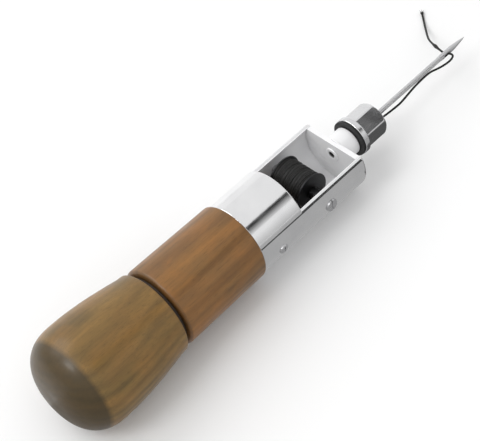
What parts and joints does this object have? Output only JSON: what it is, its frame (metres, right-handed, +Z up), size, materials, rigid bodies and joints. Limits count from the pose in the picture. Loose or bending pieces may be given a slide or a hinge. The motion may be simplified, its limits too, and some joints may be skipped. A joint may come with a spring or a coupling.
{
  "type": "lock stitch sewing awl",
  "caption": "Threaded sewing awl with a wooden palm-knob handle, a chrome bobbin housing with an open window, a needle chuck and a black waxed thread.",
  "frame": {"origin": "on the surface the tool lies on, under the middle of its length", "axes": "+X along the tool towards the needle's tip, +Y to the left of the needle, +Z up, out of the bobbin window"},
  "size_m": [0.1927, 0.0431, 0.0355],
  "materials": {
    "knob_wood": "varnished",
    "handle_wood": "varnished",
    "chrome": "polished",
    "blackened_steel": "blackened",
    "nut_steel": "plated",
    "bright_steel": "polished",
    "brass_bush": "turned",
    "dark_washer": "matte",
    "black_washer": "matte",
    "waxed_thread": "waxed"
  },
  "bodies": {
    "awl": {"handle_body": "handle_wood", "needle_tube": "bright_steel", "spare_straight_needle": "bright_steel", "spare_curved_needle": "bright_steel", "cradle": "chrome", "collar": "chrome", "ferrule_screws": "bright_steel", "nose_piece": "chrome", "thread_eyelet": "chrome", "collet": "bright_steel", "needle": "bright_steel", "bobbin_axle": "bright_steel", "spacer_sleeve": "blackened_steel", "tension_washer": "bright_steel", "tension_spring": "bright_steel", "thread_feed": "waxed_thread", "thread_free": "waxed_thread", "thread_knot": "waxed_thread"},
    "knob_carrier": {"groove_washer": "dark_washer"},
    "knob": {"palm_knob": "knob_wood", "knob_insert": "brass_bush"},
    "nut_carrier": {"lock_washer": "black_washer"},
    "nut": {"chuck_nut": "nut_steel"},
    "bobbin": {"bobbin_spool": "blackened_steel", "bobbin_winding": "waxed_thread"}
  },
  "joints": [
    {"name": "knob_travel", "type": "slide", "parent": "awl", "child": "knob_carrier", "axis": [-0.999, 0, 0.0439], "range_m": [0, 0.01]},
    {"name": "knob_turn", "type": "hinge", "parent": "knob_carrier", "child": "knob", "pos_m": [-0.06585, 0, 0.0172], "axis": [-0.999, 0, 0.0439], "range_deg": [0, 1810]},
    {"name": "nut_travel", "type": "slide", "parent": "awl", "child": "nut_carrier", "axis": [0.999, 0, -0.0439], "range_m": [0, 0.002]},
    {"name": "nut_turn", "type": "hinge", "parent": "nut_carrier", "child": "nut", "pos_m": [0.04404, 0, 0.01237], "axis": [0.999, 0, -0.0439], "range_deg": [0, 910]},
    {"name": "bobbin_spin", "type": "hinge", "parent": "awl", "child": "bobbin", "pos_m": [0.01401, 0, 0.01219], "axis": [0, 1, 0], "continuous": true}
  ],
  "couplings": [
    {"joint": "knob_turn", "follows": "knob_travel", "rad_per_m": 3141.6},
    {"joint": "nut_turn", "follows": "nut_travel", "rad_per_m": 7854}
  ]
}
